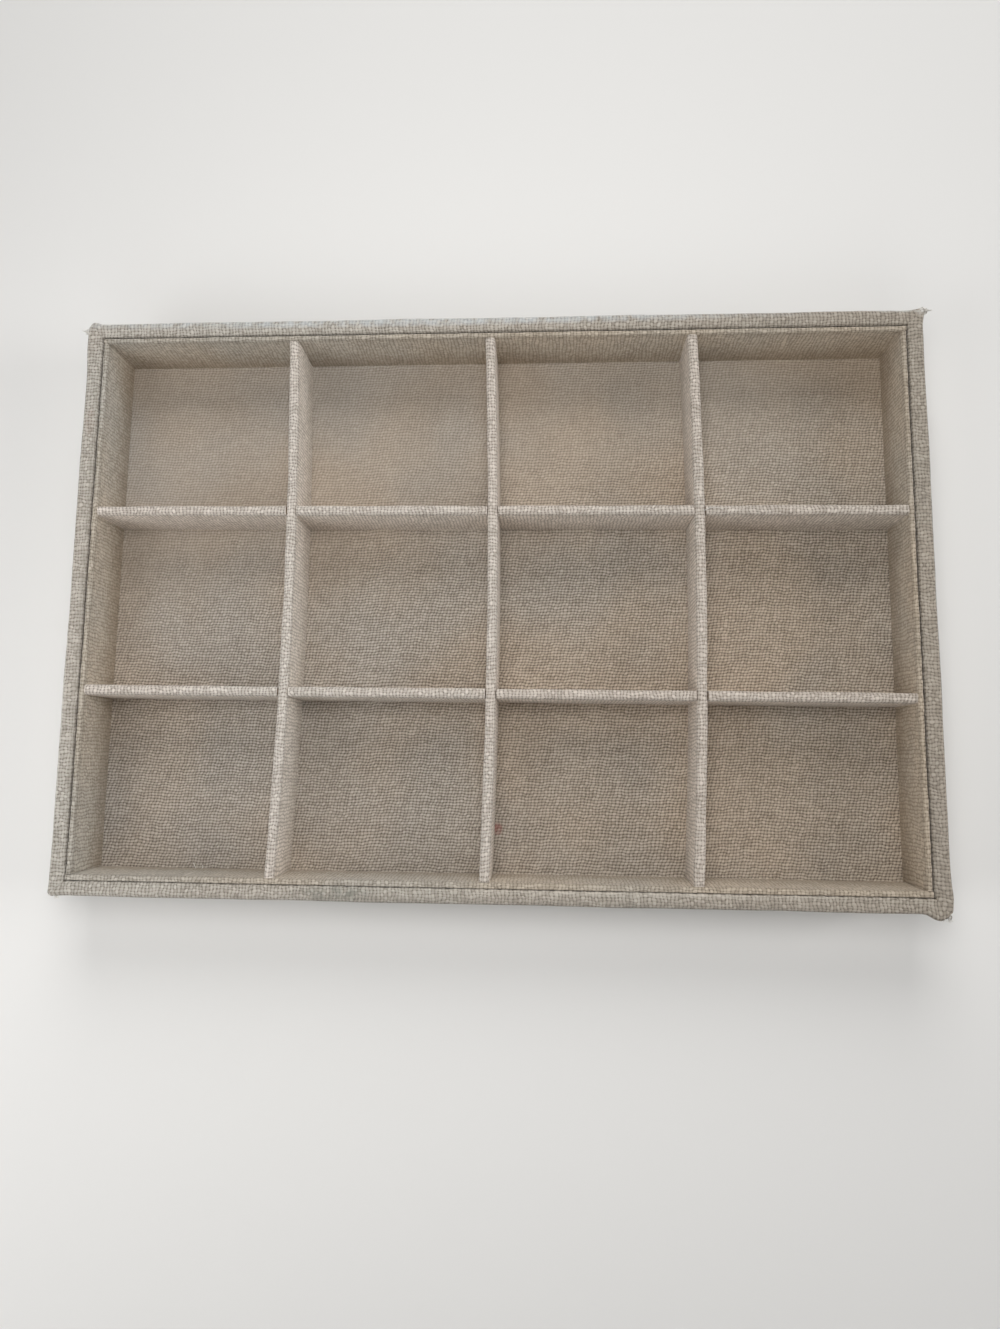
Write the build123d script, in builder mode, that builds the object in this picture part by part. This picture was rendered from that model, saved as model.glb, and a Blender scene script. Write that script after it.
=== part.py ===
"""Linen-covered jewelry tray with an egg-crate grid of compartments.

A shallow box of glued boards is wrapped in coarse linen. Card liners and a card floor, all
covered in the same linen, drop inside it and hide the raw edges of the wrap. Five covered
dividers halved into each other stand on the floor and part it into twelve compartments.

The origin lies at the centre of the underside. X runs along the tray, Y across it from front
to back, and Z up. All lengths are in millimetres.
"""

import os
from math import sqrt

from build123d import *

# Overall size of the finished tray
tray_length = 350.0
tray_width = 240.0
tray_height = 30.0

# Compartments along and across the tray
compartments_along = 4
compartments_across = 3

# Sheet materials
linen_thickness = 0.6
felt_thickness = 1.0
wall_board_thickness = 5.0
base_board_thickness = 3.0
floor_card_thickness = 2.0
liner_card_thickness = 1.0
divider_board_thickness = 3.0

# Eased edges of the boards, before they are covered
wall_edge_radius = 1.2
base_edge_radius = 0.5
divider_edge_radius = 0.7
liner_edge_radius = 0.3

# Linen wrap of the walls: what turns down inside the rim and what turns under the base
rim_turn_in = 14.0
base_turn_under = 14.0

# The felt stops short of the tray's edge by this much
felt_setback = 4.0

# Tops of the liners and the dividers, below the rim
liner_drop = 0.4
divider_drop = 0.8

# Clearances of the glued fits
mitre_gap = 0.1
seam_gap = 0.1
floor_clearance = 0.3
liner_end_clearance = 0.15
divider_end_clearance = 0.15
lap_side_clearance = 0.2
lap_end_clearance = 0.15

# Overrun of every cut, past the faces that it opens
overrun = 2.0

# The largest rounding of a board's edge, as a share of the board's thickness
edge_rounding_share = 0.4

# Heights of the stack, from the surface that the tray rests on
base_bottom = felt_thickness + linen_thickness
base_top = base_bottom + base_board_thickness
floor_card_top = base_top + floor_card_thickness
floor_top = floor_card_top + linen_thickness
wall_top = tray_height - linen_thickness
liner_top = tray_height - liner_drop
divider_top = tray_height - divider_drop
divider_height = divider_top - floor_top

# Plan of the bare box of boards, inside the wrap
box_length = tray_length - 2 * linen_thickness
box_width = tray_width - 2 * linen_thickness
well_length = box_length - 2 * wall_board_thickness
well_width = box_width - 2 * wall_board_thickness

# Plan of the mouth that the wrapped walls leave, and of the space between the liners
mouth_length = well_length - 2 * linen_thickness
mouth_width = well_width - 2 * linen_thickness
liner_thickness = liner_card_thickness + 2 * linen_thickness
clear_length = mouth_length - 2 * (seam_gap + liner_thickness)
clear_width = mouth_width - 2 * (seam_gap + liner_thickness)

# Pitch of the grid, from one divider's middle to the next
divider_thickness = divider_board_thickness + 2 * linen_thickness
grid_pitch_along = (clear_length + divider_thickness) / compartments_along
grid_pitch_across = (clear_width + divider_thickness) / compartments_across

# The four walls, by the direction in which each one faces outwards
walls = {
    "front": Vector(0, -1, 0),
    "back": Vector(0, 1, 0),
    "left": Vector(-1, 0, 0),
    "right": Vector(1, 0, 0),
}


def rounding(radius, thickness):
    """Radius of an eased edge, held within what the board's thickness leaves."""
    return min(radius, edge_rounding_share * thickness)


def save(piece, name):
    """Label a finished piece and write it."""
    piece.part.label = name
    export_step(piece.part, f"parts/{name}.step")


def centred(count, pitch):
    """Places of a row of equal steps, centred on zero."""
    return [(index - (count - 1) / 2) * pitch for index in range(count)]


def half_span(direction, length, width):
    """Half of a length by width rectangle, measured along a wall's direction."""
    return abs(direction.X) * length / 2 + abs(direction.Y) * width / 2


def long_top_edges(part):
    """The two long edges of the face on top of a standing strip."""
    return part.faces().sort_by(Axis.Z)[-1].edges().sort_by(SortBy.LENGTH)[-2:]


def strip(stand, length, thickness, height, radius):
    """A strip that stands on the middle of a plane, with its two long top edges eased."""
    with BuildPart() as upright:
        with BuildSketch(stand):
            Rectangle(length, thickness)
        extrude(amount=height)
        fillet(long_top_edges(upright.part), radius)
    return upright.part


def lap_slots(plane, pitch, count, depth):
    """Solids of the halving slots across a strip, each the width of a divider with clearance."""
    with BuildPart() as slots:
        with BuildSketch(plane):
            with GridLocations(pitch, 0, count, 1):
                slot_width = divider_thickness + 2 * lap_side_clearance
                Rectangle(slot_width, divider_thickness + 2 * overrun)
        extrude(amount=depth)
    return slots.part


def covered_strip(board_name, cover_name, stand, length, board_thickness, height, radius, slots=None):
    """A standing board and its linen, which goes up one face, over the top and down the other."""
    cover_thickness = board_thickness + 2 * linen_thickness
    board_radius = rounding(radius, board_thickness)
    board_blank = strip(stand, length, board_thickness, height - linen_thickness, board_radius)
    cover_blank = strip(stand, length, cover_thickness, height, board_radius + linen_thickness)

    with BuildPart() as board:
        add(board_blank)
        if slots:
            add(slots, mode=Mode.SUBTRACT)
    save(board, board_name)

    with BuildPart() as cover:
        add(cover_blank)
        add(board_blank, mode=Mode.SUBTRACT)
        if slots:
            add(slots, mode=Mode.SUBTRACT)
    save(cover, cover_name)


def standing_plane(centre_x, centre_y, height, turned):
    """A plane at a height, with its own X along the tray, or across it when turned."""
    along = Vector(0, 1, 0) if turned else Vector(1, 0, 0)
    return Plane(origin=(centre_x, centre_y, height), x_dir=along, z_dir=(0, 0, 1))


os.makedirs("parts", exist_ok=True)

# Bare box: a base board with four wall boards glued on top of it
board_rim_radius = rounding(wall_edge_radius, wall_board_thickness)
base_rounding = min(rounding(base_edge_radius, base_board_thickness), board_rim_radius)

with BuildPart() as base_board:
    with BuildSketch(Plane.XY.offset(base_bottom)):
        RectangleRounded(box_length, box_width, board_rim_radius)
    extrude(amount=base_board_thickness)
    fillet(base_board.edges().group_by(Axis.Z)[0], base_rounding)
save(base_board, "base_board")

with BuildPart() as wall_ring:
    with BuildSketch(Plane.XY.offset(base_top)):
        RectangleRounded(box_length, box_width, board_rim_radius)
        Rectangle(well_length, well_width, mode=Mode.SUBTRACT)
    extrude(amount=wall_top - base_top)
    fillet(wall_ring.edges().group_by(Axis.Z)[-1], board_rim_radius)

# The front and back boards run the full length, and the side boards are butted between them
for side, outward in walls.items():
    runs_through = outward.Y != 0
    with BuildPart() as wall_board:
        add(wall_ring.part)
        if runs_through:
            split(bisect_by=Plane(origin=outward * (well_width / 2), z_dir=outward))
        else:
            split(bisect_by=Plane(origin=(0, 0, 0), z_dir=outward))
            for end in (-1, 1):
                butt = Vector(0, end * well_width / 2, 0)
                split(bisect_by=Plane(origin=butt, z_dir=-butt))
    save(wall_board, f"{side}_wall_board")

# Linen wrap of the walls: up the outside, over the rim, down inside it, and under the base
wrap_rim_radius = board_rim_radius + linen_thickness

with BuildPart() as wrap_ring:
    with BuildSketch(Plane.XY.offset(felt_thickness)):
        RectangleRounded(tray_length, tray_width, wrap_rim_radius)
    extrude(amount=tray_height - felt_thickness)
    fillet(wrap_ring.edges().group_by(Axis.Z)[0], base_rounding + linen_thickness)
    with BuildSketch(Plane.XY.offset(base_top)):
        Rectangle(mouth_length, mouth_width)
    extrude(amount=tray_height - base_top, mode=Mode.SUBTRACT)
    fillet(wrap_ring.edges().group_by(Axis.Z)[-1], wrap_rim_radius)
    add(base_board.part, mode=Mode.SUBTRACT)
    add(wall_ring.part, mode=Mode.SUBTRACT)
    with BuildSketch(Plane.XY.offset(base_top)):
        Rectangle(well_length, well_width)
    extrude(amount=tray_height - rim_turn_in - base_top, mode=Mode.SUBTRACT)
    with BuildSketch(Plane.XY.offset(base_bottom)):
        Rectangle(tray_length - 2 * base_turn_under, tray_width - 2 * base_turn_under)
    extrude(amount=-(linen_thickness + overrun), mode=Mode.SUBTRACT)

# Each wall has its own strip of the wrap, cut to a mitre that meets its neighbour at the corner
for side, outward in walls.items():
    along = Vector(0, 0, 1).cross(outward)
    with BuildPart() as wall_wrap:
        add(wrap_ring.part)
        for end in (-1, 1):
            reach = half_span(outward, tray_length, tray_width)
            corner = outward * reach + along * (end * half_span(along, tray_length, tray_width))
            mitre_normal = (outward - along * end) / sqrt(2)
            face = corner + mitre_normal * (mitre_gap / 2)
            split(bisect_by=Plane(origin=face, z_dir=mitre_normal))
    save(wall_wrap, f"{side}_wall_wrap")

# Felt on the underside: it covers the edge of the linen and steps up to the board inside it
felt_border_width = base_turn_under - felt_setback

with BuildPart() as underside_felt:
    with BuildSketch():
        Rectangle(tray_length - 2 * felt_setback, tray_width - 2 * felt_setback)
    extrude(amount=felt_thickness)
    with BuildSketch(Plane.XY.offset(felt_thickness)):
        Rectangle(tray_length - 2 * base_turn_under, tray_width - 2 * base_turn_under)
    extrude(amount=linen_thickness)
    inner_edge = base_turn_under + min(felt_thickness, felt_border_width)
    with BuildSketch():
        Rectangle(tray_length - 2 * inner_edge, tray_width - 2 * inner_edge)
    extrude(amount=linen_thickness, mode=Mode.SUBTRACT)
save(underside_felt, "underside_felt")

# Floor: a card with linen over its top and down its four edges
with BuildPart() as floor_card:
    with BuildSketch(Plane.XY.offset(base_top)):
        inset = 2 * (floor_clearance + linen_thickness)
        Rectangle(well_length - inset, well_width - inset)
    extrude(amount=floor_card_thickness)
save(floor_card, "floor_card")

with BuildPart() as floor_linen:
    with BuildSketch(Plane.XY.offset(base_top)):
        Rectangle(well_length - 2 * floor_clearance, well_width - 2 * floor_clearance)
    extrude(amount=floor_top - base_top)
    fillet(floor_linen.edges().group_by(Axis.Z)[-1], linen_thickness / 2)
    add(floor_card.part, mode=Mode.SUBTRACT)
save(floor_linen, "floor_linen")

# Liners: covered cards that stand on the floor against the walls, the side ones between the
# front and back ones
for side, outward in walls.items():
    runs_through = outward.Y != 0
    offset_in = half_span(outward, mouth_length, mouth_width) - seam_gap - liner_thickness / 2
    centre = outward * offset_in
    liner_length = (mouth_length if runs_through else clear_width) - 2 * liner_end_clearance
    covered_strip(
        f"{side}_liner_card",
        f"{side}_liner_linen",
        standing_plane(centre.X, centre.Y, floor_top, turned=not runs_through),
        liner_length,
        liner_card_thickness,
        liner_top - floor_top,
        liner_edge_radius,
    )

# Dividers: the ones across the tray are slotted from below and run over the long ones, which
# are slotted from above. The slots meet at half the height.
lap_height = floor_top + divider_height / 2
lap_depth = divider_height / 2 + lap_end_clearance + overrun
under_slot_bottom = lap_height + lap_end_clearance - lap_depth
upper_slot_bottom = lap_height - lap_end_clearance

for number, x in enumerate(centred(compartments_along - 1, grid_pitch_along), start=1):
    covered_strip(
        f"cross_divider_board_{number}",
        f"cross_divider_linen_{number}",
        standing_plane(x, 0, floor_top, turned=True),
        clear_width - 2 * divider_end_clearance,
        divider_board_thickness,
        divider_height,
        divider_edge_radius,
        slots=lap_slots(
            standing_plane(x, 0, under_slot_bottom, turned=True),
            grid_pitch_across,
            compartments_across - 1,
            lap_depth,
        ),
    )

for number, y in enumerate(centred(compartments_across - 1, grid_pitch_across), start=1):
    covered_strip(
        f"long_divider_board_{number}",
        f"long_divider_linen_{number}",
        standing_plane(0, y, floor_top, turned=False),
        clear_length - 2 * divider_end_clearance,
        divider_board_thickness,
        divider_height,
        divider_edge_radius,
        slots=lap_slots(
            standing_plane(0, y, upper_slot_bottom, turned=False),
            grid_pitch_along,
            compartments_along - 1,
            lap_depth,
        ),
    )
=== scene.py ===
"""Looks of a linen-covered jewelry tray with twelve compartments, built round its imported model.

Laid out as an add-on and run as a script: each operator makes one group of pieces.
All lengths are in metres. A wall's own axes are u along it, v from its outer face inwards, and z up.
"""

import math
from typing import NamedTuple

import bpy
import numpy as np
from bpy.props import FloatProperty, FloatVectorProperty, PointerProperty
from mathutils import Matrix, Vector


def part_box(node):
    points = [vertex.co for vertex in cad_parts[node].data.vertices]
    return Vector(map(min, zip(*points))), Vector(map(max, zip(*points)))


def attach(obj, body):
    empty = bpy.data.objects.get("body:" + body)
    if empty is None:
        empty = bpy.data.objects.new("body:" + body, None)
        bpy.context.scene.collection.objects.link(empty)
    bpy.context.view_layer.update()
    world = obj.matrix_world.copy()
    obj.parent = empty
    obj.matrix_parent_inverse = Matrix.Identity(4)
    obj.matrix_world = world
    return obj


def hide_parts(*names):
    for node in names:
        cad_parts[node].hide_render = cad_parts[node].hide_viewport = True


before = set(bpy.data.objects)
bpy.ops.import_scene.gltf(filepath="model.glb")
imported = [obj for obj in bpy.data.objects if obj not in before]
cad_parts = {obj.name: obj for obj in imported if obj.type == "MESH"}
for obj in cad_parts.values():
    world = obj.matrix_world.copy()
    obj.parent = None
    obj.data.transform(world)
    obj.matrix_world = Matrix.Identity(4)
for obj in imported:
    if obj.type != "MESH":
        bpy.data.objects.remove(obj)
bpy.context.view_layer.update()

bl_info = {
    "name": "Linen Jewelry Tray",
    "version": (1, 0, 0),
    "blender": (4, 5, 0),
    "location": "3D View > Sidebar > Tray",
    "description": "Linen-wrapped display tray with halved dividers",
    "category": "Add Mesh",
}

MM = 0.001
BODY = "root"
THREADS = "Threads"
QUARTER_TURNS = {"front": 0, "right": 1, "back": 2, "left": 3}


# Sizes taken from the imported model


def low(node):
    return np.array(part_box(node)[0])


def high(node):
    return np.array(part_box(node)[1])


HALF_LENGTH = high("right_wall_wrap")[0]
HALF_WIDTH = high("back_wall_wrap")[1]
WRAP_BOTTOM = low("front_wall_wrap")[2]
RIM_TOP = high("front_wall_wrap")[2]
FLOOR_TOP = high("floor_linen")[2]
FOOT = FLOOR_TOP - 0.2 * MM
LINER_TOP = high("front_liner_linen")[2]
DIVIDER_TOP = high("cross_divider_linen_1")[2]
BOARD_TOP = high("cross_divider_board_1")[2]
END_CLEARANCE = 0.15 * MM
HALF_SPAN = {"cross": high("cross_divider_linen_1")[1], "long": high("long_divider_linen_1")[0]}


# Sizes and colours that a user would change


def length(name, description, millimetres):
    words = {"name": name, "description": description}
    return FloatProperty(**words, default=millimetres * MM, min=0, unit="LENGTH", precision=5)


def colour(name, description, value):
    words = {"name": name, "description": description}
    return FloatVectorProperty(**words, default=value, size=3, min=0, max=1, subtype="COLOR")


def power(name, description, watts):
    return FloatProperty(name=name, description=description, default=watts, min=0, unit="POWER")


class LinenTrayCloth(bpy.types.PropertyGroup):
    """The linen and how it lies."""

    thickness: length("Cloth thickness", "Thickness of the linen", 0.5)
    crosswise_pitch: length("Crosswise pitch", "Spacing of the threads that run across a strip", 1.44)
    lengthwise_pitch: length("Lengthwise pitch", "Spacing of the threads that run along a strip", 1.22)
    relief: length("Thread relief", "How far a gap lies below a thread's crown on the rims", 0.14)
    wander: length("Edge wander", "How far the covered edges wander from straight", 0.14)
    turn_in: length("Turn in", "Linen folded down the inside of the walls", 14.0)
    turn_under: length("Turn under", "Linen folded under the base", 14.0)
    pale: colour("Pale thread", "Colour of the palest threads", (0.740, 0.665, 0.570))
    dark: colour("Dark thread", "Colour of the darkest threads", (0.360, 0.310, 0.250))
    # The gap colour stands for the card seen through the gaps and for painted shade in them
    gap: colour("Gap", "Colour seen in the gaps between threads", (0.085, 0.064, 0.045))


class LinenTrayShape(bpy.types.PropertyGroup):
    """Sizes of the covered strips."""

    rim_width: length("Rim width", "From the outer face to the seam", 5.95)
    rim_round: length("Rim rounding", "Radius of the rim's outer edge", 1.3)
    seam_round: length("Seam rounding", "Radius of the rim's inner edge, at the seam", 0.8)
    corner_round: length("Corner rounding", "Radius of the four corners, seen from above", 2.0)
    base_round: length("Base rounding", "Radius of the covered bottom edge", 1.1)
    liner_inner: length("Liner face", "From the outer face to the liner's inner face", 8.5)
    liner_round: length("Liner rounding", "Radius of the liner's covered top", 0.9)
    divider_thickness: length("Divider thickness", "Thickness of a covered divider", 4.2)
    divider_round: length("Divider rounding", "Radius of a divider's covered top", 1.5)
    divider_board: length("Divider board", "Thickness of the board in a divider", 3.0)
    lap_width: length("Lap width", "Width of the boards' slots where dividers cross", 4.6)
    cover_lap: length("Cover lap", "Width of the linen's slots where dividers cross", 4.5)


class LinenTrayStage(bpy.types.PropertyGroup):
    """Floor, lamps and camera."""

    floor: colour("Floor", "Colour of the floor the tray stands on", (0.80, 0.79, 0.77))
    back_power: power("Back lamp", "Power of the soft lamp behind the tray", 9.9)
    right_power: power("Right lamp", "Power of the soft lamp low at the right", 6.6)
    top_power: power("Top lamp", "Power of the small soft lamp overhead", 0.63)
    front_power: power("Front lamp", "Power of the soft lamp in front", 2.8)
    near_power: power("Near lamp", "Power of the small soft lamp low at the left front", 1.17)
    sky: FloatProperty(name="Sky", description="Strength of the light from all round", default=0.06, min=0)


# Surfaces


def stacked(*parts):
    """Coordinates, or thread counts, as the last axis of one array."""
    return np.stack(np.broadcast_arrays(*parts), axis=-1)


def drift(x, seed, wave, octaves=3):
    """A smooth repeatable wander of about one unit.

    It is a sum of sines with seeded phases, each 1.93 times shorter and 1.8 times lower than the one before.
    """
    phases = np.random.default_rng(seed).uniform(0, 2 * np.pi, octaves)
    return sum(np.sin(2 * np.pi * x * 1.93**n / wave + phase) / 1.8**n for n, phase in enumerate(phases))


def ease(x):
    """A smooth step from nought to one as x goes from nought to one: 3x^2 - 2x^3."""
    x = np.clip(x, 0, 1)
    return x * x * (3 - 2 * x)


def woven(a, b, half_width=0.42):
    """Height of a plain weave at thread counts a and b, from -1 in a gap to 1 on a crown.

    Crosswise thread i lies round a = i + 1/2 and rides as (-1)^i sin(pi b). Its back adds the square root of
    1 - (x / half_width)^2. The lengthwise threads do the same, the other way up, and the higher one shows.
    """
    i, j = np.floor(a), np.floor(b)
    rides = (1 - 2 * (i % 2)) * np.sin(np.pi * b), -(1 - 2 * (j % 2)) * np.sin(np.pi * a)
    backs = 1 - ((a - i - 0.5) / half_width) ** 2, 1 - ((b - j - 0.5) / half_width) ** 2
    heights = [
        np.where(back > 0, 0.5 * ride + 0.5 * np.sqrt(np.maximum(back, 0)), -1.0)
        for ride, back in zip(rides, backs)
    ]
    return np.maximum(*heights)


# Lengths, in threads, of the waves in which threads stray, and the share of the whole that each adds
STRAY_WAVES = (3.5, 4.6, 6.2, 8.8, 13.0)
STRAY_SHARE = 0.63


def uneven(a, b, seed, amount=0.17):
    """Thread counts that wander by about amount, as threads do that were never quite straight.

    To each count are added sines of both counts, one for each stray wave, in seeded directions and phases.
    """
    random = np.random.default_rng(seed)
    moved = []
    for count in (a, b):
        for wave in STRAY_WAVES:
            heading, phase = random.uniform(0, 2 * np.pi, 2)
            wobble = np.sin(2 * np.pi * (a * np.cos(heading) + b * np.sin(heading)) / wave + phase)
            count = count + amount * STRAY_SHARE * wobble
        moved.append(count)
    return moved


def eased_run(corners, radii):
    """Length along, position and outward normal of straight lines with rounded corners in the v-z plane.

    At a corner A that turns by q with radius r, the run leaves the line r tan(q/2) early and follows
    A - d r tan(q/2) + s r (1 - cos f) + d r sin f for f from nought to q, where d is the line's direction
    and s the side it turns to. The outward normal is the direction of travel turned a quarter to the right.
    """
    corners = np.array(corners, float)
    points = [corners[:1]]
    for before, here, after, radius in zip(corners, corners[1:], corners[2:], radii):
        d, e = here - before, after - here
        d, e = d / np.hypot(*d), e / np.hypot(*e)
        q = math.acos(d @ e)
        s = (e - d * math.cos(q)) / math.sin(q)
        f = np.linspace(0, q, 25)[:, None]
        arc = s * (1 - np.cos(f)) + d * (np.sin(f) - math.tan(q / 2))
        points.append(here + radius * arc)
    points = np.concatenate([*points, corners[-1:]])
    run = np.concatenate([[0], np.cumsum(np.hypot(*np.diff(points, axis=0).T))])
    travel = np.gradient(points, run, axis=0)
    travel /= np.hypot(*travel.T)[:, None]
    return run, points, stacked(travel[:, 1], -travel[:, 0])


def along_run(eased, t):
    """Depth, height and the outward normal's two parts at lengths t of an eased run."""
    run, *values = eased
    return [np.interp(t, run, value[:, k]) for value in values for k in (0, 1)]


def graded(total, fine, fine_step, coarse_step):
    """Lengths from nought to total, fine_step apart in the range fine and coarse_step or so outside it."""
    before, after = fine
    return np.concatenate(
        [
            np.linspace(0, before, max(2, math.ceil(before / coarse_step) + 1))[:-1],
            np.arange(before, after - fine_step / 2, fine_step),
            np.linspace(after, total, max(2, math.ceil((total - after) / coarse_step) + 1)),
        ]
    )


def within(t, fine, start, end):
    """One inside the range fine, easing to nought over start at its beginning and over end at its end."""
    return ease((t - fine[0]) / start) * ease((fine[1] - t) / end)


def thread_columns(half, pitch, extra=()):
    """Lengths from -half to half, three to a thread with one on each crown, and the extra ones."""
    count = int(half / pitch * 3 - 0.6)
    regular = (np.arange(-count, count) + 0.5) * pitch / 3
    regular = regular[[min([abs(x - y) for y in extra], default=1) > pitch / 9 for x in regular]]
    return np.unique(np.concatenate([[-half], regular, extra, [half]]))


def turned(points, quarter_turns):
    """Points turned about the upright axis by whole quarter turns."""
    c, s = ((1, 0), (0, 1), (-1, 0), (0, -1))[quarter_turns]
    x, y, z = points
    return stacked(c * x - s * y, s * x + c * y, z)


def strip_grid(cloth, eased, fine, step, half, levels=(), cuts=()):
    """Lengths t round a strip and u along it, as a grid, and the strip's depth, height and normal there.

    There are three rows to a thread in the range fine and one to a step outside it, and one at each level.
    """
    t = np.concatenate([graded(eased[0][-1], fine, cloth.lengthwise_pitch / 3, step), levels])
    columns = thread_columns(half, cloth.crosswise_pitch, cuts)
    t, u = np.meshgrid(np.unique(t), columns, indexing="ij")
    return t, u, *along_run(eased, t)


def thread_counts(cloth, t, u, fine, first, seed):
    """Crosswise threads before u and lengthwise ones before t, counted from the strip's own first ones."""
    a = u / cloth.crosswise_pitch + first[0]
    b = (t - fine[0]) / cloth.lengthwise_pitch + 1 / 6 + first[1]
    return uneven(a, b, 300 + seed)


def places_across(half, edge, first, step):
    """Places from -half to half: at the distances edge from both ends, and a step apart beyond first."""
    inner = np.linspace(-half + first, half - first, round(2 * half / step))
    return np.concatenate([-half + edge, inner, half - edge[::-1]])


def surface(name, points, threads, keep=None):
    """An object whose mesh is the quads between neighbouring points of a grid.

    points is rows x columns x 3 and threads, the thread counts that the weave follows, rows x columns x 2.
    The rows go outwards over a top and the columns along it, so the quads face away from what they cover.
    keep says which quads stay.
    """
    rows, columns = points.shape[:2]
    index = np.arange(rows * columns).reshape(rows, columns)
    quads = stacked(index[:-1, :-1], index[1:, :-1], index[1:, 1:], index[:-1, 1:])
    quads = quads.reshape(-1, 4) if keep is None else quads[keep]
    return mesh_object(name, points.reshape(-1, 3), quads, threads.reshape(-1, 2))


def mesh_object(name, points, quads, threads):
    """An object of quads, each corner with its point's thread counts. Points in no quad are dropped."""
    used, corners = np.unique(quads, return_inverse=True)
    corners = corners.reshape(-1)
    mesh = bpy.data.meshes.new(name)
    mesh.vertices.add(len(used))
    mesh.vertices.foreach_set("co", points[used].astype(np.float32).ravel())
    mesh.loops.add(len(corners))
    mesh.loops.foreach_set("vertex_index", corners.astype(np.int32))
    mesh.polygons.add(len(corners) // 4)
    mesh.polygons.foreach_set("loop_start", np.arange(0, len(corners), 4, dtype=np.int32))
    mesh.update(calc_edges=True)
    layer = mesh.uv_layers.new(name=THREADS)
    layer.data.foreach_set("uv", threads[used][corners].astype(np.float32).ravel())
    mesh.shade_smooth()
    made = bpy.data.objects.new(name, mesh)
    bpy.context.scene.collection.objects.link(made)
    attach(made, BODY)
    return made


# Where a piece turns by more than this, it is a cut edge and stays sharp
CUT_EDGE = math.radians(70)


def thicken(piece, thickness, offset=-1.0):
    """Gives a surface its thickness, inwards unless offset says otherwise, and keeps its cut edges sharp."""
    shell = piece.modifiers.new("Thickness", "SOLIDIFY")
    shell.thickness, shell.offset, shell.use_rim = thickness, offset, True
    sharp = piece.modifiers.new("Cut edges", "EDGE_SPLIT")
    sharp.split_angle = CUT_EDGE
    return piece


def sheet_piece(name, points, threads, thickness, cut, held, rests_on, keep=None):
    """A surface given its thickness. cut holds the two sizes it was cut to, and is not used."""
    piece = thicken(surface(name, points, stacked(*threads), keep), thickness)
    return piece


def dress(piece, finish, slot, *nodes):
    """Gives a piece its finish, and lets it stand for its CAD nodes."""
    piece.data.materials.append(finish)
    if nodes:
        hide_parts(*nodes)
    return piece


# Shaders


def maths(operation, swapped=False):
    """A method of Field that adds a Math node. With swapped the field is the node's last value."""

    def method(field, *others):
        values = (*others, field) if swapped else (field, *others)
        return field.finish.node("ShaderNodeMath", {"operation": operation}, values)

    return method


class Field:
    """A socket that varies over a surface. Arithmetic on it adds Math nodes."""

    def __init__(self, finish, socket):
        self.finish, self.socket = finish, socket

    __add__ = __radd__ = maths("ADD")
    __sub__, __rsub__ = maths("SUBTRACT"), maths("SUBTRACT", swapped=True)
    __mul__ = __rmul__ = maths("MULTIPLY")
    __truediv__ = maths("DIVIDE")
    __gt__ = maths("GREATER_THAN")
    floor, modulo, higher = maths("FLOOR"), maths("FLOORED_MODULO"), maths("MAXIMUM")
    sine, root = maths("SINE"), maths("SQRT")

    def sign_by_turns(self):
        """1 where the whole number is even and -1 where it is odd."""
        return 1 - 2 * self.modulo(2.0)

    def between(self, start, end, smooth=True):
        """Nought at start and one at end."""
        kind = "SMOOTHSTEP" if smooth else "LINEAR"
        return self.finish.node("ShaderNodeMapRange", {"interpolation_type": kind}, (self, start, end))


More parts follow.
